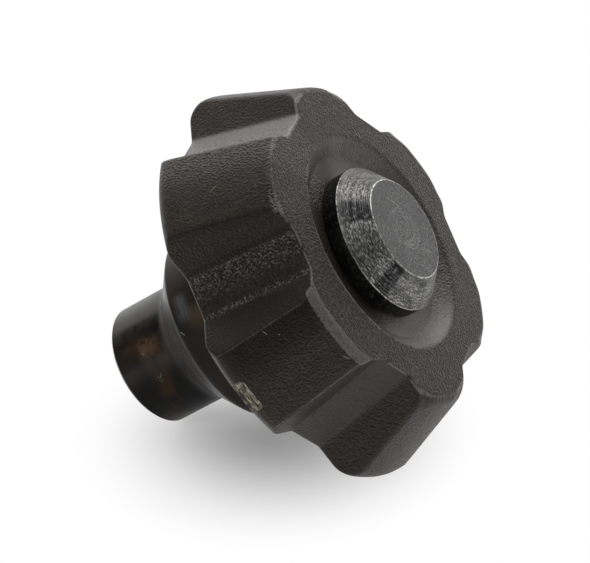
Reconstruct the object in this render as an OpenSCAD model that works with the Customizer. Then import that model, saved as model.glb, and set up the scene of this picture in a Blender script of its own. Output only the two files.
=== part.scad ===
// Lobed grip knob: a moulded grip on the six-sided sleeve of a turned steel hub, closed by a steel cap.
// The axis of the knob is the Z axis, and the end face of the hub lies on z = 0. The front points up.

/* [Grip] */
// Height of the grip, from its back face to the lip of its dish
grip_h = 18.4; // [16:0.1:22]
// Radius of the lobes at the back face, before the back is rounded
lobe_r = 33.7; // [32:0.1:36]
// Slope of the lobes to the axis: they widen towards the back
lobe_slope = 21.7; // [18:0.1:24]
// Slope of the rim, which falls outwards from the lip of the dish
rim_slope = 3.5; // [0:0.5:8]
// Rounding of the lobes at the back
back_round = 2.3; // [1:0.1:3]
// Rounding of the lobes at the rim
rim_round = 1.4; // [0.5:0.1:2]
// Number of grooves, and of lobes between them
groove_count = 6; // [4:1:7]
// Depth of a groove at the back face, along the radius
groove_depth = 5.75; // [4.5:0.05:7]
// Slope of a groove's floor to the axis
groove_slope = 15; // [12:0.5:18]
// Width of a groove's flat floor between its walls
groove_floor_w = 6.4; // [5:0.1:7]
// Slope of a groove's walls, measured from its floor
groove_wall_angle = 30; // [28:0.5:45]
// Hollow rounding between a groove's floor and its walls
groove_root_r = 1.8; // [0.5:0.1:2.5]
// Rounding of the lobes along the grooves
lobe_edge_r = 1.5; // [0.5:0.1:2]
// Turn of the first groove's middle from the X axis
groove_start = 17.8; // [0:0.1:60]
// Radius of the dish in the front, at its lip
dish_r = 18.05; // [17:0.05:19]
// Depth of the dish below its lip
dish_depth = 2.3; // [1.5:0.1:3]
// Slope of the dish's wall, measured from its floor
dish_wall_angle = 40; // [35:1:60]
// Rounding of the dish's lip
dish_lip_r = 0.9; // [0.3:0.1:1.2]
// Hollow rounding round the dish's floor
dish_root_r = 1; // [0.3:0.1:1.5]
// Depth of the round recess in the back, which takes the body of the hub
recess_depth = 2; // [1:0.1:4]

/* [Hub] */
// Radius of the boss
boss_r = 10; // [9:0.1:11]
// Length of the boss, from its end face to the start of the hollow
boss_len = 9.3; // [8:0.1:13]
// Chamfer round the end of the boss
boss_chamfer = 0.5; // [0.2:0.1:1]
// Radius of the hollow that leads from the boss into the shoulder
hollow_r = 4.1; // [2:0.1:5]
// Slope of the shoulder to the axis
shoulder_angle = 45; // [40:1:55]
// Radius of the hub's body, behind and inside the grip
body_r = 16.3; // [15:0.1:17]
// Rounding of the body's corner at the shoulder
body_edge_r = 0.8; // [0.3:0.1:1.2]
// Length of the hub from its end face to the seat of the grip
seat_z = 31.5; // [29:0.1:34]
// Number of the sleeve's sides
sleeve_sides = 6; // [4:2:8]
// Width of the sleeve across its flats
sleeve_flats = 20.2; // [18:0.1:20.8]
// Core radius of the tapped hole in the end of the boss
hole_r = 5.1; // [4:0.05:6]
// Depth of the tapped hole's straight wall
hole_depth = 25; // [16:0.5:25]
// Countersink at the mouth of the tapped hole
hole_chamfer = 1; // [0.3:0.1:1.5]
// Point angle of the drill that made the hole
drill_angle = 118; // [110:1:140]

/* [Cap] */
// Radius of the cap
cap_r = 12.1; // [11.8:0.05:13]
// Radius of the cap's flat face
cap_face_r = 8.3; // [7:0.1:10]
// Height of the cap's straight wall
cap_wall_h = 2.6; // [1.5:0.1:4]
// Height of the cap's cone
cap_cone_h = 3.75; // [2:0.05:5]
// Worn rounding of the cap's edges
cap_edge_r = 0.25; // [0.1:0.05:0.4]
// Radius of the cap's stem
stem_r = 6; // [4:0.1:7]
// Length of the cap's stem
stem_len = 11; // [8:0.5:12]
// Chamfer round the end of the stem
stem_chamfer = 0.8; // [0.2:0.1:1]

/* [Fits] */
// Clearance between the grip and the hub, on the radius and on each flat
grip_clearance = 0.02; // [0.01:0.01:0.1]
// Clearance between the cap's stem and its bore, on the radius
stem_clearance = 0.02; // [0.01:0.01:0.1]
// Free depth below the end of the stem
stem_end_gap = 1; // [0.5:0.1:2]
// Gap between the cap and the floor of the dish
cap_gap = 0.3; // [0.1:0.05:0.6]

/* [Hidden] */
$fn = 96;

// What a cutting shape reaches past the surface that it cuts
spare = 1;
// How much wider than their radius the round cuts are, so that they cross the faces instead of grazing them
round_widening = 1.01;
edge_widening = 1.02;
back_z = seat_z - recess_depth;
lip_z = back_z + grip_h;
dish_floor_z = lip_z - dish_depth;
sleeve_top = dish_floor_z + cap_gap;
sleeve_turn = groove_start + 180 / groove_count;
groove_floor_r = lobe_r - groove_depth;
// The rim's outer edge, above the back face, where the rim's slope meets the cone of the lobes
rim_fall = tan(rim_slope);
lobe_fall = tan(lobe_slope);
rim_r = (lobe_r - lobe_fall * (grip_h + dish_r * rim_fall)) / (1 - rim_fall * lobe_fall);
rim_h = grip_h - (rim_r - dish_r) * rim_fall;

function unit(v) = v / norm(v);

// What has to go to round the corner p, between the directions a and b, with radius r
module corner_waste(p, a, b, r, widening = round_widening) {
  middle = unit(a + b);
  half = acos(a * b) / 2;
  centre = p + r / sin(half) * middle;
  to_a = unit(p + r / tan(half) * a - centre);
  to_b = unit(p + r / tan(half) * b - centre);
  difference() {
    polygon([centre, centre + (r + spare) * to_a, p - spare * middle, centre + (r + spare) * to_b]);
    translate(centre) circle(r * widening);
  }
}

// Half section of the grip, from its back face up, with the dish in its front
module grip_profile() {
  up_the_lobe = [-sin(lobe_slope), cos(lobe_slope)];
  along_the_rim = [-cos(rim_slope), sin(rim_slope)];
  down_the_dish = [-cos(dish_wall_angle), -sin(dish_wall_angle)];
  difference() {
    polygon([[0, 0], [lobe_r, 0], [rim_r, rim_h], [dish_r, grip_h], [0, grip_h]]);
    corner_waste([lobe_r, 0], [-1, 0], up_the_lobe, back_round);
    corner_waste([rim_r, rim_h], -up_the_lobe, along_the_rim, rim_round);
    corner_waste([dish_r, grip_h], -along_the_rim, down_the_dish, dish_lip_r);
    dish_profile(-down_the_dish);
  }
}

module dish_profile(up_the_wall) {
  floor_h = grip_h - dish_depth;
  floor_r = dish_r - dish_depth / tan(dish_wall_angle);
  top = [floor_r, floor_h] + (dish_depth + spare) / sin(dish_wall_angle) * up_the_wall;
  difference() {
    polygon([[0, floor_h], [floor_r, floor_h], top, [0, top.y]]);
    corner_waste([floor_r, floor_h], [-1, 0], up_the_wall, dish_root_r);
  }
}

// Section of a groove, square to its floor: X is the height above the floor
module groove_section() {
  w = groove_floor_w / 2;
  top = groove_depth + rim_r / 4;
  top_w = w + top / tan(groove_wall_angle);
  difference() {
    polygon([[0, -w], [0, w], [top, top_w], [top, -top_w]]);
    for (side = [-1, 1]) {
      up_the_wall = [sin(groove_wall_angle), side * cos(groove_wall_angle)];
      corner_waste([0, side * w], [0, -side], up_the_wall, groove_root_r);
    }
  }
}

// A groove with its middle in the XZ plane, cut along its sloping floor
module groove() {
  run = grip_h / cos(groove_slope) + 2 * groove_depth;
  translate([groove_floor_r, 0, 0])
    rotate([0, -groove_slope, 0])
      translate([0, 0, -groove_depth])
        linear_extrude(height = run)
          groove_section();
}

// Where a groove's wall meets the cone of the lobes, at height z above the back face
function lobe_edge(z) =
  let (rise = tan(groove_wall_angle) / cos(groove_slope))
  let (r = lobe_r - z * lobe_fall)
  let (x = groove_floor_r - z * tan(groove_slope) - rise * groove_floor_w / 2)
  let (y = (sqrt((1 + rise * rise) * r * r - x * x) - x * rise) / (1 + rise * rise))
  [x + rise * y, y, z];

// What has to go to round a lobe along one wall of a groove
module lobe_edge_waste() {
  low = lobe_edge(0);
  high = lobe_edge(rim_h);
  middle = (low + high) / 2;
  along = unit(high - low);
  turn = atan2(middle.y, middle.x);
  out_of_wall = [
    cos(groove_wall_angle) * cos(groove_slope),
    -sin(groove_wall_angle),
    cos(groove_wall_angle) * sin(groove_slope)
  ];
  out_of_lobe = [cos(lobe_slope) * cos(turn), cos(lobe_slope) * sin(turn), sin(lobe_slope)];
  down_the_wall = cross(out_of_wall, along);
  across_the_lobe = unit(cross(along, out_of_lobe));
  place = [
    [down_the_wall.x, out_of_wall.x, along.x, middle.x],
    [down_the_wall.y, out_of_wall.y, along.y, middle.y],
    [down_the_wall.z, out_of_wall.z, along.z, middle.z],
    [0, 0, 0, 1]
  ];
  over_the_lobe = [across_the_lobe * down_the_wall, across_the_lobe * out_of_wall];
  multmatrix(place)
    linear_extrude(height = norm(high - low) + 2 * groove_depth, center = true)
      corner_waste([0, 0], [1, 0], over_the_lobe, lobe_edge_r, edge_widening);
}

// Prism on the sleeve's flats, each flat moved out by a clearance
module sleeve_prism(from_z, to_z, clearance) {
  corner_r = (sleeve_flats / 2 + clearance) / cos(180 / sleeve_sides);
  translate([0, 0, from_z])
    rotate([0, 0, sleeve_turn])
      cylinder(h = to_z - from_z, r = corner_r, $fn = sleeve_sides);
}

module grip() {
  color("#3b3633")
    difference() {
      translate([0, 0, back_z])
        rotate([0, 0, groove_start])
          difference() {
            rotate_extrude() grip_profile();
            for (k = [0:groove_count - 1])
              rotate([0, 0, k * 360 / groove_count]) {
                groove();
                lobe_edge_waste();
                mirror([0, 1, 0]) lobe_edge_waste();
              }
          }
      translate([0, 0, back_z - spare]) cylinder(h = recess_depth + spare, r = body_r + grip_clearance);
      sleeve_prism(seat_z - spare, dish_floor_z + spare, grip_clearance);
    }
}

// Half section of the hub's boss, hollow, shoulder and body
module hub_profile() {
  hollow_centre = [boss_r + hollow_r, boss_len];
  hollow_end = hollow_centre + hollow_r * [-cos(90 - shoulder_angle), sin(90 - shoulder_angle)];
  corner = [body_r, hollow_end.y + (body_r - hollow_end.x) / tan(shoulder_angle)];
  down_the_shoulder = [-sin(shoulder_angle), -cos(shoulder_angle)];
  difference() {
    polygon([
      [0, 0],
      [boss_r - boss_chamfer, 0],
      [boss_r, boss_chamfer],
      [boss_r, boss_len],
      hollow_centre,
      hollow_end,
      corner,
      [body_r, seat_z],
      [0, seat_z]
    ]);
    translate(hollow_centre) circle(hollow_r);
    corner_waste(corner, [0, 1], down_the_shoulder, body_edge_r);
  }
}

module tapped_hole() {
  mouth_r = hole_r + hole_chamfer + spare;
  point_h = hole_r / tan(drill_angle / 2);
  rotate_extrude()
    polygon([
      [0, -spare],
      [mouth_r, -spare],
      [hole_r, hole_chamfer],
      [hole_r, hole_depth],
      [0, hole_depth + point_h]
    ]);
}

module hub() {
  color("#2b2725")
    difference() {
      union() {
        rotate_extrude() hub_profile();
        sleeve_prism(seat_z - spare, sleeve_top, 0);
      }
      tapped_hole();
      translate([0, 0, sleeve_top - stem_len - stem_end_gap])
        cylinder(h = stem_len + stem_end_gap + spare, r = stem_r + stem_clearance);
    }
}

// Half section of the cap, from the end of its stem to its flat face
module cap_profile() {
  down_the_cone = unit([cap_r - cap_face_r, -cap_cone_h]);
  edge = [cap_r, cap_wall_h];
  face_edge = [cap_face_r, cap_wall_h + cap_cone_h];
  difference() {
    polygon([
      [0, -stem_len],
      [stem_r - stem_chamfer, -stem_len],
      [stem_r, stem_chamfer - stem_len],
      [stem_r, 0],
      [cap_r, 0],
      edge,
      face_edge,
      [0, face_edge.y]
    ]);
    corner_waste([cap_r, 0], [-1, 0], [0, 1], cap_edge_r);
    corner_waste(edge, [0, -1], -down_the_cone, cap_edge_r);
    corner_waste(face_edge, down_the_cone, [-1, 0], cap_edge_r);
  }
}

module cap() {
  color("#55534f")
    translate([0, 0, sleeve_top])
      rotate_extrude()
        cap_profile();
}

grip();
hub();
cap();
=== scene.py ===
"""Hand knob: a lobed, grained moulding on a blackened steel hub, with a worn, coned steel cap in its dished front."""

import math

import bmesh
import bpy
from mathutils import Matrix, Vector, noise


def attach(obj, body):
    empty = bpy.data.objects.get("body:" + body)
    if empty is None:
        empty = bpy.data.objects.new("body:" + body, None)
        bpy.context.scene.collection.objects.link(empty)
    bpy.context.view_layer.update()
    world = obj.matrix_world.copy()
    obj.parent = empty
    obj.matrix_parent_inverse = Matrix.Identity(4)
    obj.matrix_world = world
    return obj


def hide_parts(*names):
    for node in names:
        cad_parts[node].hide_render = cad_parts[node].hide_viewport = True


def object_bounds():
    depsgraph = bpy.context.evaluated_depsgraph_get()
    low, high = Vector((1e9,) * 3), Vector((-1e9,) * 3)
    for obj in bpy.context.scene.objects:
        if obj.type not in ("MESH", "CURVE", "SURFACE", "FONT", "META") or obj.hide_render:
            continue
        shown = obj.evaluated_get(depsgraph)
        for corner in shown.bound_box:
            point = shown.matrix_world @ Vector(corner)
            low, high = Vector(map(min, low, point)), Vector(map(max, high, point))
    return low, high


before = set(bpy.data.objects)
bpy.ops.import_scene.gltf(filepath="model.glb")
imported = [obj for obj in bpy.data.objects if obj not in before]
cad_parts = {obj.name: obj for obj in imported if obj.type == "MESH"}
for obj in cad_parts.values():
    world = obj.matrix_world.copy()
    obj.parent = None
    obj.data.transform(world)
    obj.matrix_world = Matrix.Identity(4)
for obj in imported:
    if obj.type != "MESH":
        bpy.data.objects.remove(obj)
cad_low, cad_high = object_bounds()
scene = bpy.context.scene
mm = 0.001


# The camera
# A long lens looks at the cap from the front and above, as a catalogue photographer would set it.
# Its right and up directions are given along the knob's own axes.
view_right = Vector((-0.4829, -0.4250, 0.7657)).normalized()
view_up = Vector((0.8755, -0.2497, 0.4136))
view_back = view_right.cross(view_up).normalized()
view_up = view_back.cross(view_right)
camera_data = bpy.data.cameras.new("camera")
camera_data.lens = 203.5
camera_data.sensor_width = 36
camera_data.clip_start = 0.01
camera_data.clip_end = 20
camera = bpy.data.objects.new("camera", camera_data)
scene.collection.objects.link(camera)
camera.matrix_world = Matrix.Translation((0.00892, 0.4548, 0.28824)) @ Matrix(
    (view_right, view_up, view_back)
).transposed().to_4x4()
scene.camera = camera


# The floor
# The knob lies on its side, on the end of its hub and on two of its lobes, as it would come to rest.
# The groove between those lobes points down, so the floor leans against the hub's end and both lobes.
lowest_groove = math.radians(197.8)
towards_floor = Vector((math.cos(lowest_groove), math.sin(lowest_groove), 0))


def lowest_point(node, up):
    """How far the CAD node reaches along up, at its lowest vertex."""
    return min(vertex.co.dot(up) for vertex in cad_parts[node].data.vertices)


def floor_up(lean):
    """The floor's upward normal, for an axis that leans that far over."""
    return math.sin(lean) * Vector((0, 0, 1)) - math.cos(lean) * towards_floor


steep, shallow = math.radians(15), math.radians(60)
for step in range(40):
    lean = (steep + shallow) / 2
    if lowest_point("hub", floor_up(lean)) < lowest_point("grip", floor_up(lean)):
        shallow = lean
    else:
        steep = lean
up = floor_up(lean)
floor_level = min(lowest_point(node, up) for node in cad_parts)
towards_camera = (view_back - view_back.dot(up) * up).normalized()
across = up.cross(towards_camera)
studio = Matrix((across, -towards_camera, up)).transposed()
middle = (cad_low + cad_high) / 2
floor_middle = middle - (middle.dot(up) - floor_level) * up

bpy.ops.object.select_all(action="DESELECT")
bpy.ops.mesh.primitive_plane_add(size=6)
floor = bpy.context.object
floor.name = "floor"
floor.data.transform(Matrix.Translation(floor_middle) @ studio.to_4x4())

floor_material = bpy.data.materials.new("white_floor")
floor_material.use_nodes = True
nodes, links = floor_material.node_tree.nodes, floor_material.node_tree.links
nodes.clear()
floor_output = nodes.new("ShaderNodeOutputMaterial")
paper = nodes.new("ShaderNodeBsdfDiffuse")
paper.inputs["Color"].default_value = (0.93, 0.93, 0.93, 1)
plain_white = nodes.new("ShaderNodeEmission")
plain_white.inputs["Strength"].default_value = 1
see_through = nodes.new("ShaderNodeBsdfTransparent")
place = nodes.new("ShaderNodeTexCoord")
from_middle = nodes.new("ShaderNodeVectorMath")
from_middle.operation = "DISTANCE"
from_middle.inputs[1].default_value = floor_middle + (0.0026 * towards_camera - 0.0011 * across)
fade = nodes.new("ShaderNodeMapRange")
fade.interpolation_type = "SMOOTHSTEP"
fade.inputs["From Min"].default_value = 0
fade.inputs["From Max"].default_value = 0.035
fade.inputs["To Min"].default_value = 0.15
path = nodes.new("ShaderNodeLightPath")
seen = nodes.new("ShaderNodeMath")
seen.operation = "MAXIMUM"
seen_in_gloss = nodes.new("ShaderNodeMath")
seen_in_gloss.operation = "MAXIMUM"
white_share = nodes.new("ShaderNodeMath")
white_share.operation = "MULTIPLY"
fade_to_white = nodes.new("ShaderNodeMixShader")
side = nodes.new("ShaderNodeNewGeometry")
one_sided = nodes.new("ShaderNodeMixShader")
links.new(place.outputs["Object"], from_middle.inputs[0])
links.new(from_middle.outputs["Value"], fade.inputs["Value"])
links.new(path.outputs["Is Camera Ray"], seen.inputs[0])
links.new(path.outputs["Is Glossy Ray"], seen_in_gloss.inputs[0])
links.new(path.outputs["Is Transmission Ray"], seen_in_gloss.inputs[1])
links.new(seen_in_gloss.outputs[0], seen.inputs[1])
links.new(seen.outputs[0], white_share.inputs[0])
links.new(fade.outputs["Result"], white_share.inputs[1])
links.new(white_share.outputs[0], fade_to_white.inputs["Fac"])
links.new(paper.outputs[0], fade_to_white.inputs[1])
links.new(plain_white.outputs[0], fade_to_white.inputs[2])
links.new(side.outputs["Backfacing"], one_sided.inputs["Fac"])
links.new(fade_to_white.outputs[0], one_sided.inputs[1])
links.new(see_through.outputs[0], one_sided.inputs[2])
links.new(one_sided.outputs[0], floor_output.inputs["Surface"])
floor.data.materials.append(floor_material)


# The light
# A white studio, lit from behind and overhead and dark on the camera's side, with one softbox above and behind.
world = bpy.data.worlds.new("studio")
scene.world = world
world.use_nodes = True
nodes, links = world.node_tree.nodes, world.node_tree.links
nodes.clear()
world_output = nodes.new("ShaderNodeOutputWorld")
direction = nodes.new("ShaderNodeTexCoord")
lit_side = nodes.new("ShaderNodeVectorMath")
lit_side.operation = "DOT_PRODUCT"
lit_side.inputs[1].default_value = (0.39 * up - 0.92 * towards_camera).normalized()
falloff = nodes.new("ShaderNodeMapRange")
falloff.interpolation_type = "SMOOTHSTEP"
falloff.inputs["From Min"].default_value = 0.05
falloff.inputs["From Max"].default_value = 1.05
falloff.inputs["To Min"].default_value = 0.09
falloff.inputs["To Max"].default_value = 1.45
glow = nodes.new("ShaderNodeBackground")
glow.inputs["Color"].default_value = (1, 1, 1, 1)
backdrop = nodes.new("ShaderNodeBackground")
backdrop.inputs["Color"].default_value = (1, 1, 1, 1)
backdrop.inputs["Strength"].default_value = 1
path = nodes.new("ShaderNodeLightPath")
backdrop_or_glow = nodes.new("ShaderNodeMixShader")
links.new(direction.outputs["Generated"], lit_side.inputs[0])
links.new(lit_side.outputs["Value"], falloff.inputs["Value"])
links.new(falloff.outputs["Result"], glow.inputs["Strength"])
links.new(path.outputs["Is Camera Ray"], backdrop_or_glow.inputs["Fac"])
links.new(glow.outputs[0], backdrop_or_glow.inputs[1])
links.new(backdrop.outputs[0], backdrop_or_glow.inputs[2])
links.new(backdrop_or_glow.outputs[0], world_output.inputs["Surface"])


def softbox(name, right, back, height, width, depth, watts):
    """A soft rectangular lamp, placed from the knob's middle and aimed at it."""
    lamp_data = bpy.data.lights.new(name, "AREA")
    lamp_data.shape = "RECTANGLE"
    lamp_data.size = width
    lamp_data.size_y = depth
    lamp_data.energy = watts
    lamp = bpy.data.objects.new(name, lamp_data)
    scene.collection.objects.link(lamp)
    offset = studio @ Vector((right, back, height))
    aim = offset.to_track_quat("Z", "Y").to_matrix().to_4x4()
    lamp.matrix_world = Matrix.Translation(middle + offset) @ aim
    return lamp


softbox("top_softbox", 0.1, 0.4, 0.66, 0.7, 0.5, 1.6)
softbox("left_softbox", -0.55, -0.5, 0.5, 0.25, 0.25, 1.1)


# The grip
# A hard, mineral-filled moulding, black-brown and grained all over by its mould, with six lobes for the fingers.
# The floors, walls and crests taper at different angles, so its skin is laid ring by ring, from the back to the rim.
# The round and six-sided openings inside it fit the hub.
back_z = 29.5
grip_h = 18.4
lobe_r, lobe_slope = 33.7, math.radians(21.7)
back_round, rim_round, corner_round, end_round = 2.3, 1.5, 3.2, 0.35
groove_count, groove_start = 6, math.radians(17.8)
groove_floor_r, groove_slope, floor_half_w = 27.95, math.radians(15), 3.2
wall_lean = math.atan(math.tan(math.radians(30)) / math.cos(groove_slope))
root_r, lobe_edge_r = 1.8, 1.5
dish_r, dish_depth, dish_wall = 18.05, 2.3, math.radians(40)
dish_lip_r, dish_root_r = 0.9, 1.0
rim_slope = math.radians(3.5)
recess_r, recess_depth = 16.32, 2.0
bore_flat_r = 10.12
rim_fall, lobe_fall = math.tan(rim_slope), math.tan(lobe_slope)
rim_r = (lobe_r - lobe_fall * (grip_h + dish_r * rim_fall)) / (1 - rim_fall * lobe_fall)
rim_h = grip_h - (rim_r - dish_r) * rim_fall


def crest_radius(z, front_round):
    """Radius of the lobes at height z above the back, with the roundings of the back and the rim."""
    back_r = lobe_r - back_round * lobe_fall - back_round / math.cos(lobe_slope)
    front_r = lobe_r - (rim_h - front_round) * lobe_fall - front_round / math.cos(lobe_slope)
    if z < back_round * (1 + math.sin(lobe_slope)):
        return back_r + math.sqrt(max(0, back_round**2 - (z - back_round) ** 2))
    if z > rim_h - front_round * (1 - math.sin(lobe_slope)):
        return front_r + math.sqrt(max(0, front_round**2 - (z - rim_h + front_round) ** 2))
    return lobe_r - z * lobe_fall


def shares(count, closed=False):
    """Even shares from 0 up to 1, the last one left out unless closed."""
    return [k / (count - closed) for k in range(count)]


def half_groove(z):
    """Points from the middle of a groove to the middle of a lobe, at height z, with their outward normals."""
    crest = crest_radius(z, corner_round)
    crest_middle = crest_radius(z, rim_round)
    floor_x = groove_floor_r - z * math.tan(groove_slope)
    up_wall = Vector((math.sin(wall_lean), math.cos(wall_lean)))
    off_wall = Vector((math.cos(wall_lean), -math.sin(wall_lean)))
    foot = Vector((floor_x, floor_half_w))
    root = Vector((floor_x + root_r, floor_half_w - root_r * math.tan(wall_lean / 2)))
    start = foot - lobe_edge_r * off_wall
    along = start.dot(up_wall)
    reach = math.sqrt(along**2 - start.length_squared + (crest - lobe_edge_r) ** 2)
    edge = start + (reach - along) * up_wall
    edge_angle = math.atan2(edge.y, edge.x)
    lobe_middle = math.pi / groove_count
    points = []
    for t in shares(3):
        points.append((Vector((floor_x, root.y * t)), Vector((1, 0))))
    for t in shares(6):
        normal = Vector((math.cos(t * wall_lean), -math.sin(t * wall_lean)))
        points.append((root - root_r * normal, normal))
    wall_low, wall_high = root - root_r * off_wall, edge + lobe_edge_r * off_wall
    for t in shares(6):
        points.append((wall_low.lerp(wall_high, t), off_wall))
    for t in shares(8):
        turn = -wall_lean + t * (edge_angle + wall_lean)
        normal = Vector((math.cos(turn), math.sin(turn)))
        points.append((edge + lobe_edge_r * normal, normal))
    for t in shares(13, closed=True):
        turn = edge_angle + t * (lobe_middle - edge_angle)
        normal = Vector((math.cos(turn), math.sin(turn)))
        rise = min(1, t / 0.6)
        radius = crest + (crest_middle - crest) * rise * rise * (3 - 2 * rise)
        points.append((radius * normal, normal))
    return points


def end_inset(z):
    """How far the skin draws in at height z, at its soft edges with the back and the rim."""
    from_end = min(z, rim_h - z)
    if from_end >= end_round:
        return 0
    return end_round - math.sqrt(end_round**2 - (end_round - from_end) ** 2)


def skin_ring(z):
    """One closed ring of the lobed skin, at height z above the back."""
    half = [point - end_inset(z) * normal for point, normal in half_groove(z)]
    sector = [Vector((p.x, -p.y)) for p in half[:0:-1]] + half[:-1]
    ring = []
    for k in range(groove_count):
        turn = Matrix.Rotation(groove_start + k * math.tau / groove_count, 2)
        ring += [turn @ p for p in sector]
    share = max(0, (z - rim_h + 2) / 2)
    return [Vector((p.x, p.y, z + share * (rim_r - p.length) * rim_fall)) for p in ring]


def round_ring(like, r, z):
    """A circle with its points at the same angles as those of another ring."""
    return [Vector((p.x * r / p.xy.length, p.y * r / p.xy.length, z)) for p in like]


def six_sided_ring(like, flat_r, z):
    """A six-sided section with its flats at that radius, its corners in line with the lobes."""
    ring = []
    for p in like:
        turn = math.atan2(p.y, p.x) - groove_start
        from_flat = (turn + math.pi / 6) % (math.pi / 3) - math.pi / 6
        ring += round_ring([p], flat_r / math.cos(from_flat), z)
    return ring


def arc(centre_r, centre_z, radius, first, last, count):
    """Points of a rounding in the half section, as radius and height, its angles in degrees."""
    turns = [math.radians(first + t * (last - first)) for t in shares(count, closed=True)]
    return [(centre_r + radius * math.cos(a), centre_z + radius * math.sin(a)) for a in turns]


steps = [math.radians(a) for a in (0, 6, 12, 18, 25, 33, 42, 52, 62, 72, 82)]
heights = [back_round * (1 - math.cos(a)) for a in steps]
side_low, side_high = heights[-1] + 0.8, rim_h - corner_round - 0.5
heights += [side_low + t * (side_high - side_low) for t in shares(9, closed=True)]
heights += [rim_h - corner_round * (1 - math.cos(a)) for a in reversed(steps)]
skin = [skin_ring(z) for z in heights]

outer = skin[-1]
lip_centre_r = dish_r + dish_lip_r * math.tan((dish_wall - rim_slope) / 2)
lip_centre_z = grip_h - (lip_centre_r - dish_r) * rim_fall - dish_lip_r * math.cos(rim_slope)
lip = arc(lip_centre_r, lip_centre_z, dish_lip_r, 90 - 3.5, 90 + 40, 8)
floor_h = grip_h - dish_depth
dish_floor_r = dish_r - dish_depth / math.tan(dish_wall)
root_centre_r = dish_floor_r - dish_root_r * math.tan(dish_wall / 2)
root = arc(root_centre_r, floor_h + dish_root_r, dish_root_r, -50, -90, 6)
rings = list(skin)
for share in (0.06, 0.2, 0.4, 0.6, 0.8, 0.95):
    ring = []
    for p in outer:
        r = p.xy.length * (1 - share) + lip[0][0] * share
        ring += round_ring([p], r, grip_h - (r - dish_r) * rim_fall)
    rings.append(ring)
for r, z in lip + root + [(14, floor_h), (12.5, floor_h)]:
    rings.append(round_ring(outer, r, z))
for z in (floor_h, recess_depth):
    rings.append(six_sided_ring(outer, bore_flat_r, z))
for r, z in ((recess_r, recess_depth), (recess_r, 0)):
    rings.append(round_ring(outer, r, z))
for share in (0.3, 0.6, 0.9):
    rings.append([a.lerp(b, share) for a, b in zip(rings[-1], skin[0])])


def lay_skin(name, rings, closed):
    """An object made of quads between rings of points given in mm, its two ends joined or else filled."""
    shell = bmesh.new()
    laid = [[shell.verts.new(p * mm) for p in ring] for ring in rings]
    for ring, onward in zip(laid, laid[1:] + laid[:1] * closed):
        for a in range(len(ring)):
            b = (a + 1) % len(ring)
            shell.faces.new((ring[a], ring[b], onward[b], onward[a]))
    if not closed:
        shell.faces.new(laid[0])
        shell.faces.new(laid[-1])
    bmesh.ops.recalc_face_normals(shell, faces=shell.faces)
    mesh = bpy.data.meshes.new(name)
    shell.to_mesh(mesh)
    shell.free()
    piece = bpy.data.objects.new(name, mesh)
    scene.collection.objects.link(piece)
    return piece


to_back = Vector((0, 0, back_z))
grip = lay_skin("lobed_grip", [[p + to_back for p in ring] for ring in rings], closed=True)
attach(grip, "root")
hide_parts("grip")
bpy.context.view_layer.objects.active = grip
grip.select_set(True)
bpy.ops.object.shade_smooth_by_angle(angle=math.radians(35))

moulding = bpy.data.materials.new("grained_moulding")
moulding.use_nodes = True
nodes, links = moulding.node_tree.nodes, moulding.node_tree.links
shader = nodes["Principled BSDF"]
place = nodes.new("ShaderNodeTexCoord")
position = place.outputs["Object"]


def maths(operation, first, second=None, third=None):
    """A Math node in the tree being built, its inputs given as sockets or numbers."""
    node = nodes.new("ShaderNodeMath")
    node.operation = operation
    for socket, value in zip(node.inputs, (first, second, third)):
        if value is None:
            continue
        if isinstance(value, (int, float)):
            socket.default_value = value
        else:
            links.new(value, socket)
    return node.outputs[0]


def noise_at(scale, detail=2.0, roughness=0.5, stretch=None, kind="ShaderNodeTexNoise", distortion=0.0):
    """A noise texture in the tree being built, read at the object coordinates."""
    texture = nodes.new(kind)
    texture.inputs["Scale"].default_value = scale
    source = position
    if stretch:
        mapping = nodes.new("ShaderNodeMapping")
        mapping.inputs["Scale"].default_value = stretch
        links.new(position, mapping.inputs["Vector"])
        source = mapping.outputs["Vector"]
    links.new(source, texture.inputs["Vector"])
    if kind == "ShaderNodeTexNoise":
        texture.inputs["Detail"].default_value = detail
        texture.inputs["Roughness"].default_value = roughness
        texture.inputs["Distortion"].default_value = distortion
        return texture.outputs["Fac"]
    return texture.outputs["Distance"]


def ramp(value, from_low, from_high, to_low=0.0, to_high=1.0):
    """A smooth, clamped change from one value to another."""
    node = nodes.new("ShaderNodeMapRange")
    node.interpolation_type = "SMOOTHSTEP"
    links.new(value, node.inputs["Value"])
    for name, number in zip(("From Min", "From Max", "To Min", "To Max"), (from_low, from_high, to_low, to_high)):
        node.inputs[name].default_value = number
    return node.outputs["Result"]


def blend(share, first, second):
    """A mix of two colours, each given as a socket or as a colour."""
    node = nodes.new("ShaderNodeMix")
    node.data_type = "RGBA"
    links.new(share, node.inputs["Factor"])
    for socket, value in zip((node.inputs[6], node.inputs[7]), (first, second)):
        if isinstance(value, tuple):
            socket.default_value = (*value, 1)
        else:
            links.new(value, socket)
    return node.outputs[2]


def product(*shares):
    """Shares multiplied together, the first a socket and the others sockets or numbers."""
    result = shares[0]
    for share in shares[1:]:
        result = maths("MULTIPLY", result, share)
    return result


def largest(*shares):
    """The largest of some shares at each point."""
    result = shares[0]
    for share in shares[1:]:
        result = maths("MAXIMUM", result, share)
    return result


def less(share, amount=1.0):
    """1 where a share is 0, and less than 1 by the amount where the share is 1."""
    return maths("MULTIPLY_ADD", share, -amount, 1.0)


def between(value, rise_from, rise_to, fall_from, fall_to):
    """A share that rises from 0 to 1 as a value grows, and then falls to 0 again."""
    return product(ramp(value, rise_from, rise_to), ramp(value, fall_from, fall_to, 1, 0))


def close_to(value, level, inner, outer):
    """1 where a value is within inner of a level, and 0 beyond outer."""
    return ramp(maths("ABSOLUTE", maths("SUBTRACT", value, level)), inner, outer, 1, 0)


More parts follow.
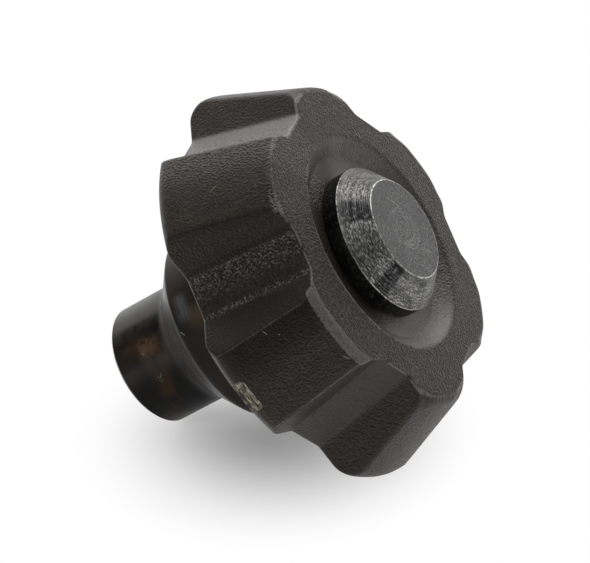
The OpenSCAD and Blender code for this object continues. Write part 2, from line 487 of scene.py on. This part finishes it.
def marked(base, *marks):
    """A colour with marks laid over it in turn, each given as its share and its own colour."""
    for share, tone in marks:
        base = blend(share, base, tone)
    return base


def vector_maths(operation, first, second=None):
    """A Vector Math node in the tree being built, its inputs given as sockets or vectors."""
    node = nodes.new("ShaderNodeVectorMath")
    node.operation = operation
    for socket, value in zip(node.inputs, (first, second)):
        if isinstance(value, bpy.types.NodeSocket):
            links.new(value, socket)
        elif value is not None:
            socket.default_value = value
    return node.outputs["Value" if operation in ("DOT_PRODUCT", "DISTANCE", "LENGTH") else "Vector"]


def above_floor(angle):
    """How far a point lies outside the plane of a groove's floor, in metres."""
    turn = math.radians(angle)
    reach = vector_maths("DOT_PRODUCT", position, (math.cos(turn), math.sin(turn), math.tan(groove_slope)))
    return maths("SUBTRACT", reach, (groove_floor_r + back_z * math.tan(groove_slope)) * mm)


def from_middle_line(angle):
    """How far a point lies to the side of the middle of a groove or a lobe, in metres."""
    turn = math.radians(angle)
    return vector_maths("DOT_PRODUCT", position, (-math.sin(turn), math.cos(turn), 0))


def on_floor(angle):
    """1 on the floor of a groove, and 0 away from it."""
    level = close_to(above_floor(angle), 0, 0.0001, 0.0006)
    return product(level, close_to(from_middle_line(angle), 0, 0.0032, 0.0042))


def place_round_axis():
    """A point's distance from the knob's axis, its height, and the direction from the axis to it."""
    parts = nodes.new("ShaderNodeSeparateXYZ")
    links.new(position, parts.inputs[0])
    level = vector_maths("MULTIPLY", position, (1, 1, 0))
    return vector_maths("LENGTH", level), parts.outputs["Z"], vector_maths("NORMALIZE", level)


def facing(angle, outer, inner):
    """1 where a point's heading is within inner degrees of an angle, and 0 beyond outer degrees."""
    turn = math.radians(angle)
    agreement = vector_maths("DOT_PRODUCT", heading, (math.cos(turn), math.sin(turn), 0))
    return ramp(agreement, math.cos(math.radians(outer)), math.cos(math.radians(inner)))


# Short scratches mark the grip, the hub and the cap, so their mask is a node group that each material places.
short_scratch = bpy.data.node_groups.new("short_scratch", "ShaderNodeTree")
for name in ("Position", "Start", "End"):
    short_scratch.interface.new_socket(name, in_out="INPUT", socket_type="NodeSocketVector")
short_scratch.interface.new_socket("Width", in_out="INPUT", socket_type="NodeSocketFloat")
short_scratch.interface.new_socket("Mask", in_out="OUTPUT", socket_type="NodeSocketFloat")
nodes, links = short_scratch.nodes, short_scratch.links
given = nodes.new("NodeGroupInput").outputs
course = vector_maths("SUBTRACT", given["End"], given["Start"])
onward = vector_maths("NORMALIZE", course)
off = vector_maths("SUBTRACT", given["Position"], given["Start"])
along = maths("MINIMUM", vector_maths("DOT_PRODUCT", off, onward), vector_maths("LENGTH", course))
foot = vector_maths("MULTIPLY", onward, maths("MAXIMUM", along, 0))
widths_away = maths("DIVIDE", vector_maths("DISTANCE", off, foot), given["Width"])
links.new(ramp(widths_away, 0.4, 1, 1, 0), nodes.new("NodeGroupOutput").inputs["Mask"])
nodes, links = moulding.node_tree.nodes, moulding.node_tree.links


def scratch(start, end, width):
    """1 along a short straight scratch between two points given in mm, and 0 beyond its width."""
    group = nodes.new("ShaderNodeGroup")
    group.node_tree = short_scratch
    links.new(position, group.inputs["Position"])
    group.inputs["Start"].default_value = Vector(start) * mm
    group.inputs["End"].default_value = Vector(end) * mm
    group.inputs["Width"].default_value = width * mm
    return group.outputs["Mask"]


def near_corner(r, z, reach):
    """1 within reach of a corner of the half section, given in mm, and 0 farther off."""
    off_r, off_z = maths("SUBTRACT", radius, r * mm), maths("SUBTRACT", height, z * mm)
    off = maths("SQRT", maths("ADD", product(off_r, off_r), product(off_z, off_z)))
    return ramp(off, reach * mm * 0.88, reach * mm * 1.12, 1, 0)


# The mould's grain is small smooth cells whose rows wander, with a finer grain over them.
cells = nodes.new("ShaderNodeTexVoronoi")
cells.feature = "SMOOTH_F1"
cells.inputs["Scale"].default_value = 2700
cells.inputs["Smoothness"].default_value = 0.55
cells.inputs["Randomness"].default_value = 1
wander = nodes.new("ShaderNodeTexNoise")
wander.inputs["Scale"].default_value = 1500
wander.inputs["Detail"].default_value = 2
links.new(position, wander.inputs["Vector"])
drift = nodes.new("ShaderNodeVectorMath")
drift.operation = "MULTIPLY_ADD"
drift.inputs[1].default_value = (0.0005, 0.0005, 0.0005)
links.new(wander.outputs["Color"], drift.inputs[0])
links.new(position, drift.inputs[2])
links.new(drift.outputs[0], cells.inputs["Vector"])
grain = maths("MULTIPLY_ADD", noise_at(4200, 3, 0.6), 0.45, cells.outputs["Distance"])
radius, height, heading = place_round_axis()
lip_z = (back_z + grip_h + dish_r * rim_fall) * mm
below_rim = maths("SUBTRACT", maths("MULTIPLY_ADD", radius, -rim_fall, lip_z), height)
upper_lobe, front_lobe = 47.8, 107.8
top_groove, middle_groove, lower_groove = 17.8, 77.8, 137.8

# Use has rubbed the front lobe along its rim and its back, and the upper lobe at one tip and at its back. The strip
# along the front lobe's rim is also a painted highlight.
rim_corner = (rim_r, back_z + rim_h)
back_corner = (lobe_r, back_z)
on_front_lobe = facing(front_lobe, 20, 18)
rubbed_back = product(near_corner(*back_corner, 1.9), on_front_lobe, 0.7)
rubbed_and_highlit = largest(product(near_corner(*rim_corner, 1.15), on_front_lobe), rubbed_back)
soft_back = product(near_corner(*back_corner, 1.9), facing(upper_lobe, 26, 18))
rubbed_tip = product(near_corner(*rim_corner, 0.85), facing(60, 5.5, 2.5), ramp(grain, 0.5, 0.8))

# Painted highlights run as fine light lines along the worn, rounded edges: at the grooves' ends, beside the front
# lobe, along one groove's root, round the back and the dish.
edge_highlight = product(
    between(below_rim, 0.00004, 0.00012, 0.00028, 0.00042),
    ramp(radius, 0.019, 0.02),
    ramp(radius, 0.0256, 0.0264, 1, 0.1),
    ramp(noise_at(500, 3, 0.6), 0.32, 0.52),
)
edge_point, low_z, high_z = 19, 3, 14
lobe_edges = [half_groove(z)[edge_point][0] for z in (low_z, high_z)]
low_y, high_y = [p.length * math.sin(math.pi / 6 - math.atan2(p.y, p.x)) for p in lobe_edges]
edge_slope = (high_y - low_y) / (high_z - low_z)
edge_y = maths("MULTIPLY_ADD", height, edge_slope, (low_y - (back_z + low_z) * edge_slope) * mm)
across_front = from_middle_line(front_lobe)
side_highlights = product(
    close_to(maths("ABSOLUTE", across_front), edge_y, 0.00005, 0.00015),
    facing(front_lobe, 34, 30),
    ramp(below_rim, 0.0004, 0.0012),
    ramp(noise_at(420, 3, 0.6), 0.36, 0.56),
    ramp(across_front, -0.001, 0.001, 0.35, 1),
    ramp(grain, 0.35, 0.75, 0.45, 1),
)
root_highlight = product(
    between(from_middle_line(lower_groove), -0.0039, -0.0036, -0.0034, -0.0031),
    close_to(above_floor(lower_groove), 0, 0.0005, 0.001),
    ramp(grain, 0.35, 0.75, 0.45, 1),
    0.3,
)
back_highlight = between(height, *[(back_z + rise) * mm for rise in (0.02, 0.07, 0.22, 0.36)])
lip_highlight = product(
    near_corner(dish_r + 0.1, back_z + grip_h - 0.1, 0.28),
    ramp(noise_at(300, 3, 0.6), 0.36, 0.56),
    facing(92, 85, 60),
)

# The grain is coarse on the rim and at the top of the upper lobe, finer beside it, and smooth on some floors. Lit and
# shaded parts of the floors, the dish and the crests are marked here for painted light and painted shade.
in_dish = ramp(radius, 0.0174, 0.0184, 1, 0)
on_rim = product(ramp(below_rim, 0.00003, 0.0002, 1, 0), ramp(radius, 0.0176, 0.0186))
raked = facing(30, 17, 7)
rim_and_raked = largest(on_rim, raked)
fine_grained = largest(facing(3, 15, 10), facing(54, 10, 5))
smooth = largest(
    product(on_floor(top_groove), 0.7),
    product(on_floor(lower_groove), 0.35),
    product(in_dish, ramp(noise_at(110, 2, 0.5), 0.4, 0.6, 0.2, 0.6)),
)
shaded_dish = product(facing(-130, 28, 12), ramp(radius, 0.0145, 0.0162))
lit_dish = product(in_dish, facing(-112, 119, 92), less(shaded_dish, 0.45))
lit_floor = largest(on_floor(top_groove), lit_dish)
coarse_floor = on_floor(middle_groove)
shaded_crest = product(facing(94, 13, 6), ramp(below_rim, 0.0012, 0.0022), ramp(radius, 0.0255, 0.0262))
from_upper_edge = maths("SUBTRACT", from_middle_line(upper_lobe), edge_y)
edge_shadow = product(
    between(from_upper_edge, -0.0002, 0.0001, 0.0003, 0.0012),
    facing(68, 12, 8),
    ramp(below_rim, 0.0006, 0.0016),
)

# In the middle groove, painted glints lie on the rubbed ridges in a wide band and in a line along one root, and the
# other root is darkened with painted shade.
sideways = from_middle_line(middle_groove)
in_groove = product(close_to(above_floor(middle_groove), 0, 0.0004, 0.0009), ramp(below_rim, 0.0001, 0.0008))
wide_band = product(ramp(sideways, -0.0036, -0.003), ramp(sideways, -0.0024, 0.0022, 1, 0.12), 0.9)
root_line = between(sideways, 0.0026, 0.003, 0.0034, 0.0039)
root_shadow = product(between(sideways, -0.0047, -0.004, -0.0036, -0.003), in_groove)
glints = product(
    largest(wide_band, root_line), in_groove, ramp(grain, 0.5, 0.8), ramp(noise_at(3000, 2, 0.6), 0.42, 0.66)
)

patches = ramp(noise_at(160, 3, 0.6), 0.35, 0.7)
grain_depth = product(
    less(largest(smooth, product(rubbed_and_highlit, 0.7)), 0.82),
    maths("MULTIPLY_ADD", rim_and_raked, 0.4, 0.6),
    less(largest(shaded_crest, fine_grained), 0.45),
    maths("MULTIPLY_ADD", patches, 0.3, 0.7),
)
bump = nodes.new("ShaderNodeBump")
bump.inputs["Distance"].default_value = 0.00042
links.new(grain_depth, bump.inputs["Strength"])
links.new(grain, bump.inputs["Height"])
links.new(bump.outputs["Normal"], shader.inputs["Normal"])

# The pits of the grain are nearly black, and its ridges a dark brown that is paler where it is coarse. At the top of
# the upper lobe the paler ridges are partly painted raking light.
pits = blend(patches, (0.0082, 0.0053, 0.0034), (0.0115, 0.0079, 0.0052))
tops = blend(patches, (0.0275, 0.0195, 0.0135), (0.042, 0.0303, 0.0212))
middle_share = 0.42
contrast = maths("MULTIPLY_ADD", rim_and_raked, 2.4, 0.5)
from_middle_share = maths("SUBTRACT", ramp(grain, 0.48, 0.86), middle_share)
ridges = maths("MULTIPLY_ADD", from_middle_share, contrast, middle_share)
fine_specks = product(less(on_rim), ramp(noise_at(4300, 2, 0.6), 0.54, 0.66), fine_grained)
# Painted shade on the middle groove's floor, on the front lobe's crest, along the upper lobe's edge and at a groove's
# root.
painted_shade = largest(
    product(coarse_floor, 0.42), product(shaded_crest, 0.7), product(edge_shadow, 0.75), product(root_shadow, 0.85)
)
worn_and_highlit_grain = maths("MULTIPLY_ADD", rubbed_and_highlit, 0.5, product(grain, 1.3))
flecks = largest(
    scratch((-2.89, 29.86, 38.75), (-3.5, 29.67, 39.04), 0.1),
    scratch((-11.88, 24.5, 45.72), (-12.72, 23.93, 46.06), 0.12),
    scratch((-4.44, 28.99, 40.44), (-4.4, 29, 40.4), 0.13),
)
brown_fleck = scratch((19.04, 23.29, 38.58), (19.54, 22.35, 39.55), 0.15)
long_scratch = scratch((-1.2, 30.3, 37.4), (-6.6, 28.2, 41.8), 0.07)
colour = marked(
    blend(ridges, pits, tops),
    # Painted highlight on the grain's ridges, on the rim and at the top of the upper lobe.
    (product(rim_and_raked, ramp(grain, 0.6, 0.85), 0.45), (0.08, 0.069, 0.059)),
    (product(fine_specks, 0.7), (0.085, 0.07, 0.056)),
    # Lighter where the grain is worn smooth or rubbed; on the lit floor and in the dish this lightening is also
    # painted light.
    (largest(smooth, rubbed_and_highlit), (0.043, 0.036, 0.03)),
    (product(lit_floor, maths("MULTIPLY_ADD", ridges, 0.6, 0.5)), (0.145, 0.138, 0.128)),
    (product(lit_dish, facing(162, 40, 20), maths("MULTIPLY_ADD", ridges, 0.3, 0.15)), (0.24, 0.23, 0.215)),
    (painted_shade, (0.005, 0.0036, 0.0026)),
    # Painted glints.
    (glints, (0.2, 0.198, 0.194)),
    # The strip along the front lobe's rim: worn grain with a painted highlight.
    (product(rubbed_and_highlit, ramp(worn_and_highlit_grain, 0.86, 1.5, 0.2, 1)), (0.185, 0.177, 0.163)),
    # Painted highlights along the rounded edges, a groove's root and the dish's lip.
    (product(edge_highlight, 0.9), (0.2, 0.186, 0.162)),
    (product(largest(side_highlights, root_highlight, lip_highlight), 0.8), (0.18, 0.167, 0.146)),
    (product(back_highlight, 0.75), (0.15, 0.135, 0.112)),
    (product(soft_back, 0.45), (0.09, 0.084, 0.076)),
    (product(rubbed_tip, 0.75), (0.17, 0.165, 0.155)),
    (product(flecks, 0.75), (0.3, 0.29, 0.27)),
    (product(brown_fleck, 0.6), (0.19, 0.16, 0.11)),
    (product(long_scratch, 0.3), (0.16, 0.15, 0.14)),
    (product(ramp(noise_at(1500, 3, 0.7), 0.68, 0.76), 0.4), (0.1, 0.094, 0.085)),
    (ramp(noise_at(110, kind="ShaderNodeTexVoronoi"), 0.009, 0.018, 1, 0), (0.4, 0.38, 0.33)),
)
links.new(colour, shader.inputs["Base Color"])
sheen = maths("MULTIPLY_ADD", noise_at(700, 3, 0.6), 0.22, 0.3)
sheen = maths("MULTIPLY_ADD", coarse_floor, -0.1, sheen)
links.new(maths("MULTIPLY_ADD", smooth, 0.02, sheen), shader.inputs["Roughness"])
gloss = maths("MULTIPLY_ADD", lit_floor, 0.3, maths("MULTIPLY_ADD", smooth, 0.35, 0.3))
links.new(maths("MULTIPLY_ADD", raked, 0.2, gloss), shader.inputs["Specular IOR Level"])
shader.inputs["Specular Tint"].default_value = (1, 0.955, 0.9, 1)
grip.data.materials.append(moulding)


# The chip in the grip
# A knock broke a sliver out of one lobe's back edge, down to the pale, streaked filling of the moulding.
# It is cut from the grip as one rough, flat-bottomed bite across the rounding of the edge.
chip_turn, chip_tilt, chip_place = math.radians(108.6), math.radians(22), math.radians(47)
outward = Vector((math.cos(chip_turn), math.sin(chip_turn), 0))
chip_out = math.cos(chip_tilt) * outward - math.sin(chip_tilt) * Vector((0, 0, 1))
chip_along = Vector((-math.sin(chip_turn), math.cos(chip_turn), 0))
chip_across = chip_out.cross(chip_along)
arc_middle = (lobe_r - back_round * lobe_fall - back_round / math.cos(lobe_slope)) * outward
arc_middle += Vector((0, 0, back_z + back_round))
bpy.ops.object.select_all(action="DESELECT")
bpy.ops.mesh.primitive_cube_add(size=1)
bite = bpy.context.object
bite.name = "chip_cutter"
bpy.ops.object.mode_set(mode="EDIT")
bpy.ops.transform.resize(value=(0.0056, 0.0039, 0.002), center_override=(0, 0, 0))
bpy.ops.mesh.bevel(offset=0.0007, segments=3, affect="EDGES")
bpy.ops.mesh.quads_convert_to_tris()
bpy.ops.mesh.subdivide(number_cuts=6)
bpy.ops.object.mode_set(mode="OBJECT")
noise.seed_set(5)
for vertex in bite.data.vertices:
    lumps, grit = noise.noise_vector(vertex.co * 900), noise.noise_vector(vertex.co * 2600)
    vertex.co += lumps * 0.00016 + grit * 0.00007
seat = Matrix((chip_along, chip_across, chip_out)).transposed().to_4x4()
centre = (arc_middle + (back_round * math.cos(chip_place) + 1.0) * chip_out) * mm
bite.data.transform(Matrix.Translation(centre) @ seat)

filling = bpy.data.materials.new("broken_filling")
filling.use_nodes = True
nodes, links = filling.node_tree.nodes, filling.node_tree.links
shader = nodes["Principled BSDF"]
place = nodes.new("ShaderNodeTexCoord")
turned = nodes.new("ShaderNodeMapping")
turned.vector_type = "TEXTURE"
turned.inputs["Rotation"].default_value = (0, 0, chip_turn)
links.new(place.outputs["Object"], turned.inputs["Vector"])
position = turned.outputs["Vector"]
streaks = noise_at(1, 4, 0.7, stretch=(2000, 550, 1700))
blots = noise_at(1000, 3, 0.65)
pale = blend(ramp(blots, 0.44, 0.6), (0.15, 0.125, 0.09), (0.5, 0.44, 0.34))
links.new(blend(ramp(streaks, 0.46, 0.56), pale, (0.022, 0.012, 0.006)), shader.inputs["Base Color"])
shader.inputs["Roughness"].default_value = 0.7
bump = nodes.new("ShaderNodeBump")
bump.inputs["Distance"].default_value = 0.00015
links.new(streaks, bump.inputs["Height"])
links.new(bump.outputs["Normal"], shader.inputs["Normal"])
bite.data.materials.append(filling)


def cut_away(piece, cutter, material_mode="INDEX"):
    """Take the cutter's shape out of a piece, and the cutter out of the scene."""
    bpy.ops.object.select_all(action="DESELECT")
    bpy.context.view_layer.objects.active = piece
    piece.select_set(True)
    bpy.ops.object.modifier_add(type="BOOLEAN")
    cut = piece.modifiers[-1]
    cut.operation = "DIFFERENCE"
    cut.solver = "EXACT"
    cut.material_mode = material_mode
    cut.object = cutter
    bpy.ops.object.modifier_apply(modifier=cut.name)
    bpy.data.objects.remove(cutter, do_unlink=True)


cut_away(grip, bite, "TRANSFER")


# The hub
# Turned from steel bar: a straight boss, a hollow curve into a shoulder, and a body that the grip is seated on.
# It was blackened in hot oil, which left it glossy, with brown patches.
# Its half section is laid ring by ring in mesh code, so that its turned surfaces shade evenly.
hub_steel = bpy.data.materials.new("blackened_hub_steel")
hub_steel.use_nodes = True
nodes, links = hub_steel.node_tree.nodes, hub_steel.node_tree.links
shader = nodes["Principled BSDF"]
place = nodes.new("ShaderNodeTexCoord")
position = place.outputs["Object"]
radius, height, heading = place_round_axis()


def near_spot(x, y, z, reach):
    """1 at a point given in mm, falling to 0 at its reach."""
    return ramp(vector_maths("DISTANCE", position, (x * mm, y * mm, z * mm)), 0, reach * mm, 1, 0)


# The black is patchy, with brown clouds and grey turning streaks on the shoulder. A deep black band along the boss
# and a darker side of the body are painted dark reflections, and one side of the boss and a streaked patch on the
# body carry painted highlights.
black_patches = ramp(noise_at(60, 3, 0.5, distortion=1.2), 0.45, 0.7)
clouds = ramp(noise_at(95, 4, 0.62, distortion=0.6), 0.45, 0.7)
streaks = ramp(noise_at(1, 4, 0.7, stretch=(90, 90, 2600)), 0.4, 0.62)
shoulder = product(between(height, 0.0112, 0.0122, 0.0148, 0.016), maths("MULTIPLY_ADD", streaks, 0.45, 0.2))
on_boss = ramp(height, 0.0098, 0.0115, 1, 0)
boss_dark_reflection = product(
    facing(54, 12, 3),
    on_boss,
    ramp(height, 0.0006, 0.0034, 0.3, 1),
    ramp(noise_at(260, 3, 0.6), 0.3, 0.6, 0.55, 1),
)
body_dark_reflection = product(facing(112, 40, 18), ramp(height, 0.017, 0.0182))
brown = product(near_spot(3.3, 9.4, 7, 3.2), ramp(noise_at(420, 4, 0.6), 0.36, 0.56), 1.6)
body_highlight = product(
    facing(69, 10, 2), between(height, 0.0176, 0.0192, 0.0196, 0.0214), maths("MULTIPLY_ADD", streaks, 0.5, 0.4)
)

# Two scuffs on the boss and a nick on the body show bare steel.
scuffs = product(
    largest(
        ramp(near_spot(2.7, 9.6, 6.0, 1.3), 0.15, 0.7),
        product(ramp(near_spot(-2.2, 9.8, 6.5, 1.5), 0.15, 0.6), 0.5),
    ),
    close_to(noise_at(1050, 3, 0.6, distortion=0.8), 0.5, 0.006, 0.026),
    ramp(noise_at(1500, 2, 0.6), 0.44, 0.58, 0.1, 1),
)
nick = scratch((2.62, 16.07, 17.72), (1.96, 16.17, 18.14), 0.09)
finish = marked(
    blend(black_patches, (0.009, 0.0085, 0.008), (0.018, 0.0185, 0.019)),
    (clouds, (0.042, 0.022, 0.011)),
    (shoulder, (0.06, 0.059, 0.057)),
    (maths("MINIMUM", brown, 1), (0.095, 0.058, 0.034)),
    (near_spot(3.6, 15.9, 21.8, 3.5), (0.085, 0.058, 0.036)),
    # Painted highlight on the body.
    (body_highlight, (0.14, 0.14, 0.143)),
    # Painted dark reflection on one side of the body.
    (product(body_dark_reflection, 0.5), (0.012, 0.009, 0.006)),
    (scuffs, (0.38, 0.355, 0.31)),
    (product(nick, 0.8), (0.4, 0.37, 0.31)),
    # Painted highlight on one side of the boss.
    (product(facing(30, 22, 8), on_boss, 0.7), (0.06, 0.057, 0.051)),
    # Painted dark reflection along the boss.
    (boss_dark_reflection, (0.005, 0.0048, 0.0045)),
)
links.new(finish, shader.inputs["Base Color"])

# Its gloss is held back on the side that lies low, in the hollow and on the painted dark reflections of the boss and
# the body.
held_back = largest(
    product(boss_dark_reflection, 0.75),
    product(facing(135, 50, 28), ramp(height, 0.0125, 0.0145, 1, 0), 0.75),
    product(between(height, 0.0092, 0.0104, 0.0118, 0.0128), 0.45),
    product(body_dark_reflection, 0.55),
)
links.new(maths("MULTIPLY_ADD", held_back, -0.24, 0.24), shader.inputs["Specular IOR Level"])
links.new(maths("MULTIPLY_ADD", held_back, -0.06, 0.06), shader.inputs["Coat Weight"])
shader.inputs["Coat Roughness"].default_value = 0.1
links.new(maths("MULTIPLY_ADD", noise_at(400, 4, 0.65), 0.3, 0.16), shader.inputs["Roughness"])
bump = nodes.new("ShaderNodeBump")
bump.inputs["Distance"].default_value = 0.000012
bump.inputs["Strength"].default_value = 0.6
links.new(noise_at(1, 4, 0.7, stretch=(60, 60, 5000)), bump.inputs["Height"])
links.new(bump.outputs["Normal"], shader.inputs["Normal"])

boss_r, boss_len, hollow_r = 10, 9.3, 4.1
body_r, shoulder_round, shoulder_z = 16.3, 0.8, 17.632
sleeve_start, sleeve_end, sleeve_r = 31.5, 45.9, 10.1
front_bore_r, front_bore_end = 6.02, 33.9
mouth = [(0.02, 28.06), (5.1, 25), (5.1, 17), (5.1, 9), (5.1, 1), (6.1, 0)]
end_face = [(8, 0), (9.5, 0)]
boss = [(boss_r, z) for z in (0.5, 3, 6, boss_len)]
hollow = arc(boss_r + hollow_r, boss_len, -hollow_r, 0, -45, 10)[1:]
shoulder_edge = arc(body_r - shoulder_round, shoulder_z, shoulder_round, -45, 0, 7)
body = [(body_r, z) for z in (20, 23, 27, sleeve_start)]
front_bore = [(front_bore_r, sleeve_end), (front_bore_r, front_bore_end), (0.02, front_bore_end)]
around = [Vector((math.cos(k * math.tau / 192), math.sin(k * math.tau / 192), 0)) for k in range(192)]
rings = [round_ring(around, r, z) for r, z in mouth + end_face + boss + hollow + shoulder_edge + body]
rings += [six_sided_ring(around, sleeve_r, z) for z in (sleeve_start, sleeve_end)]
rings += [round_ring(around, r, z) for r, z in front_bore]
threaded = lay_skin("threaded_hub", rings, closed=False)
threaded.data.materials.append(hub_steel)
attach(threaded, "root")
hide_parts("hub")


# The thread in the hub
# The hole in the hub's end is tapped, with a metric thread of 12 mm diameter and 1.75 mm pitch.
# A ridge swept along its helix, laid section by section in mesh code, is cut out of the hub.
thread_r, core_r, pitch, thread_end = 6.0, 4.95, 1.75, 23.5
ridge = ((core_r, -0.78), (thread_r, -0.11), (thread_r, 0.11), (core_r, 0.78))
per_turn = 48
sections = []
for k in range(int(per_turn * (thread_end + 1) / pitch) + 1):
    turn = k * math.tau / per_turn
    z = -1 + k * pitch / per_turn
    sections.append([Vector((r * math.cos(turn), r * math.sin(turn), z + rise)) for r, rise in ridge])
tap = lay_skin("tap", sections, closed=False)
tap.data.materials.append(hub_steel)
cut_away(threaded, tap)
bpy.ops.object.shade_smooth_by_angle(angle=math.radians(28))


# The cap
# A turned steel cap with a flat face, a wide cone and a short wall, pressed into the front of the hub.
# Its black finish is worn to bare steel on the edges and in streaks round the cone.
cap_steel = bpy.data.materials.new("worn_cap_steel")
cap_steel.use_nodes = True
nodes, links = cap_steel.node_tree.nodes, cap_steel.node_tree.links
shader = nodes["Principled BSDF"]
place = nodes.new("ShaderNodeTexCoord")
position = place.outputs["Object"]
radius, height, heading = place_round_axis()
parts = nodes.new("ShaderNodeSeparateXYZ")
links.new(position, parts.inputs[0])
polar = nodes.new("ShaderNodeCombineXYZ")
links.new(product(radius, 1000), polar.inputs[0])
links.new(maths("ARCTAN2", parts.outputs[1], parts.outputs[0]), polar.inputs[1])
links.new(product(height, 1000), polar.inputs[2])


def polar_noise(stretch, detail, roughness):
    """Noise drawn out round the axis, as turning leaves it. Its scales are per mm, per radian and per mm."""
    mapping = nodes.new("ShaderNodeMapping")
    mapping.inputs["Scale"].default_value = stretch
    texture = nodes.new("ShaderNodeTexNoise")
    texture.inputs["Scale"].default_value = 1
    texture.inputs["Detail"].default_value = detail
    texture.inputs["Roughness"].default_value = roughness
    links.new(polar.outputs[0], mapping.inputs["Vector"])
    links.new(mapping.outputs[0], texture.inputs["Vector"])
    return texture.outputs["Fac"]


rings = polar_noise((9, 0.8, 9), 2, 0.6)
patches = polar_noise((0.45, 2.6, 0.45), 4, 0.65)
speckle = noise_at(3600, 3, 0.65)
face_r, wall_top_z, wall_foot_z = 0.0083, 0.04847, 0.04597
on_face = ramp(height, 0.05205, 0.0522)
on_wall = ramp(height, 0.0484, 0.0485, 1, 0)
on_cone = product(less(on_wall), less(on_face))

# Two black bands across the cone are painted dark reflections. The side between them is made paler with a painted
# reflection, and another side of the cone is darkened with painted shade.
cone_dark_reflections = product(
    largest(facing(53, 13, 8), facing(122, 10, 5)), ramp(polar_noise((1.1, 14, 1.1), 2, 0.6), 0.24, 0.46)
)
black_with_reflections = marked(
    blend(ramp(noise_at(420, 3, 0.6), 0.4, 0.62), (0.03, 0.03, 0.032), (0.1, 0.1, 0.1)),
    (product(facing(84, 62, 20), 0.4), (0.2, 0.2, 0.195)),
    (product(facing(12, 55, 15), 0.75), (0.02, 0.019, 0.018)),
    (cone_dark_reflections, (0.012, 0.012, 0.014)),
)
matt_face = blend(ramp(speckle, 0.36, 0.62), (0.042, 0.043, 0.044), (0.16, 0.16, 0.158))

# Bare steel shows in specks and turning lines on the cone, and in broken rings and scratches on the face. Painted
# glints glitter on one side of the cone.
sparkle = maths("MULTIPLY_ADD", polar_noise((6, 12, 6), 3, 0.7), 0.5, product(speckle, 0.5))
worn_through = product(
    ramp(sparkle, 0.49, 0.58),
    ramp(patches, 0.38, 0.56, 0.25, 1),
    less(on_face, 0.7),
    less(on_wall, 0.85),
    less(cone_dark_reflections, 0.9),
    less(facing(18, 48, 15), 0.4),
)
glitter = product(
    ramp(polar_noise((5, 15, 5), 3, 0.7), 0.51, 0.6), facing(88, 44, 25), on_cone, less(cone_dark_reflections, 0.9)
)
turning_lines = product(
    ramp(rings, 0.52, 0.62),
    ramp(patches, 0.3, 0.5),
    less(on_wall, 0.9),
    maths("MULTIPLY_ADD", on_face, -0.42, 0.5),
)
arcs = product(
    close_to(polar_noise((0.9, 0.35, 0), 1, 0.4), 0.5, 0, 0.035), on_face, ramp(radius, 0.0036, 0.0046, 1, 0)
)
broken = ramp(polar_noise((0.6, 1.6, 0.6), 3, 0.6), 0.38, 0.58)
face_rings = [
    product(close_to(radius, r * mm, 0.00003, 0.00011), broken, on_face, 0.45) for r in (1.2, 2.05, 2.75, 3.45)
]
face_scratches = largest(
    scratch((5.44, 0.35, 52.25), (3.46, -1.87, 52.25), 0.1),
    scratch((-3.68, -0.95, 52.25), (-5.18, -3.83, 52.25), 0.09),
)
wall_specks = product(on_wall, ramp(noise_at(1300, 3, 0.7), 0.54, 0.68))
edges = product(
    largest(close_to(radius, face_r, 0.00005, 0.00016), close_to(height, wall_top_z, 0.00004, 0.00015)),
    ramp(noise_at(1700, 4, 0.7), 0.38, 0.6),
)
foot_line = product(close_to(height, wall_foot_z, 0.00005, 0.00016), ramp(noise_at(700, 3, 0.6), 0.4, 0.58))
steel = marked(
    blend(on_face, black_with_reflections, matt_face),
    (product(on_wall, 0.75), (0.018, 0.018, 0.019)),
    (product(wall_specks, 0.5), (0.25, 0.25, 0.24)),
    (product(arcs, 0.3), (0.4, 0.4, 0.39)),
    *[(ring, (0.34, 0.34, 0.335)) for ring in face_rings],
    (turning_lines, (0.3, 0.3, 0.29)),
    (product(worn_through, 0.85), (0.46, 0.45, 0.42)),
    (product(face_scratches, ramp(speckle, 0.4, 0.56, 0.15, 0.7)), (0.42, 0.41, 0.39)),
    (product(glitter, 0.85), (0.85, 0.85, 0.85)),
    (edges, (0.66, 0.65, 0.61)),
    (product(foot_line, 0.7), (0.5, 0.49, 0.46)),
)
links.new(steel, shader.inputs["Base Color"])
shader.inputs["Metallic"].default_value = 0.9
links.new(maths("MULTIPLY_ADD", speckle, 0.25, 0.3), shader.inputs["Roughness"])
bump = nodes.new("ShaderNodeBump")
bump.inputs["Distance"].default_value = 0.00004
links.new(maths("MULTIPLY_ADD", on_wall, -0.7, 0.8), bump.inputs["Strength"])
links.new(maths("ADD", rings, speckle), bump.inputs["Height"])
links.new(bump.outputs["Normal"], shader.inputs["Normal"])
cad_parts["cap"].data.materials.clear()
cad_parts["cap"].data.materials.append(cap_steel)


scene.view_settings.view_transform = "Standard"
